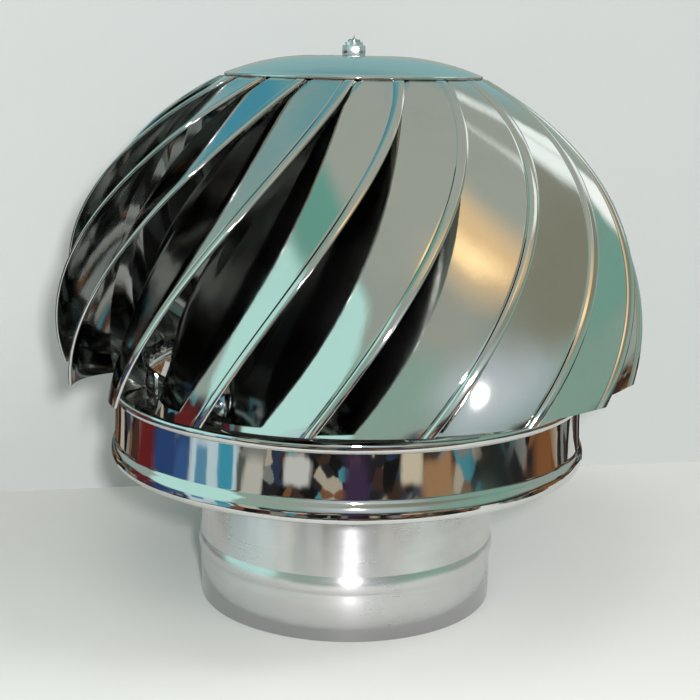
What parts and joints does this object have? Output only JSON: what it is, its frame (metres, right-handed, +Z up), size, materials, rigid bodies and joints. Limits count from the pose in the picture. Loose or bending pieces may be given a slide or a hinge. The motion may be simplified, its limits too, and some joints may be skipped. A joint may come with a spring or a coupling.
{
  "type": "roof turbine ventilator",
  "caption": "Spherical rotating chimney and vent cowl: swirl blades between a domed top disc and a beaded skirt ring, turning on a fixed round neck.",
  "frame": {"origin": "centre of the neck's lower edge, on the axis of rotation", "axes": "+Z up along the axis of rotation; the side that was seen is -Y, and +X is to its right"},
  "size_m": [0.2918, 0.2944, 0.2851],
  "materials": {
    "blade_steel": "bright annealed stainless sheet, mirror-like with fine smudges",
    "polished_steel": "mirror-polished stainless sheet",
    "neck_steel": "satin stainless sheet with drawing lines",
    "bright_steel": "plain stainless",
    "rivet_steel": "bright stainless blind rivets",
    "zinc_steel": "bright zinc plate",
    "shaft_steel": "ground shaft",
    "bearing_steel": "ground bearing steel",
    "cage_brass": "plain",
    "seal_rubber": "matte black"
  },
  "bodies": {
    "stator": {"neck_tube": "neck_steel", "upper_bridge": "bright_steel", "lower_bridge": "bright_steel", "bridge_rivets": "rivet_steel", "bearing_housing": "bright_steel", "housing_screws": "zinc_steel", "housing_nuts": "zinc_steel", "upper_outer_race": "bearing_steel", "lower_outer_race": "bearing_steel"},
    "rotor": {"shaft": "shaft_steel", "upper_inner_race": "bearing_steel", "lower_inner_race": "bearing_steel", "spacer_tube": "bright_steel", "tail_washer": "zinc_steel", "tail_nut": "zinc_steel", "slinger": "bright_steel", "hub_washer": "bright_steel", "crown_plate": "polished_steel", "crown_rivets": "rivet_steel", "spacer_sleeve": "bright_steel", "top_disc": "polished_steel", "seal_washer": "seal_rubber", "cap_nut": "zinc_steel", "skirt_ring": "polished_steel", "foot_rivets": "rivet_steel", "blade_01": "blade_steel", "blade_02": "blade_steel", "blade_03": "blade_steel", "blade_04": "blade_steel", "blade_05": "blade_steel", "blade_06": "blade_steel", "blade_07": "blade_steel", "blade_08": "blade_steel", "blade_09": "blade_steel", "blade_10": "blade_steel", "blade_11": "blade_steel", "blade_12": "blade_steel", "blade_13": "blade_steel", "blade_14": "blade_steel", "blade_15": "blade_steel", "blade_16": "blade_steel", "blade_17": "blade_steel", "blade_18": "blade_steel"},
    "upper_cage_body": {"upper_cage": "cage_brass", "upper_balls": "bearing_steel"},
    "lower_cage_body": {"lower_cage": "cage_brass", "lower_balls": "bearing_steel"}
  },
  "joints": [
    {"name": "rotor_spin", "type": "hinge", "parent": "stator", "child": "rotor", "pos_m": [0, 0, 0.104], "axis": [0, 0, 1], "continuous": true},
    {"name": "upper_cage_spin", "type": "hinge", "parent": "stator", "child": "upper_cage_body", "pos_m": [0, 0, 0.1005], "axis": [0, 0, 1], "continuous": true},
    {"name": "lower_cage_spin", "type": "hinge", "parent": "stator", "child": "lower_cage_body", "pos_m": [0, 0, 0.0755], "axis": [0, 0, 1], "continuous": true}
  ],
  "couplings": [
    {"joint": "upper_cage_spin", "follows": "rotor_spin", "ratio": 0.37101},
    {"joint": "lower_cage_spin", "follows": "rotor_spin", "ratio": 0.37101}
  ]
}
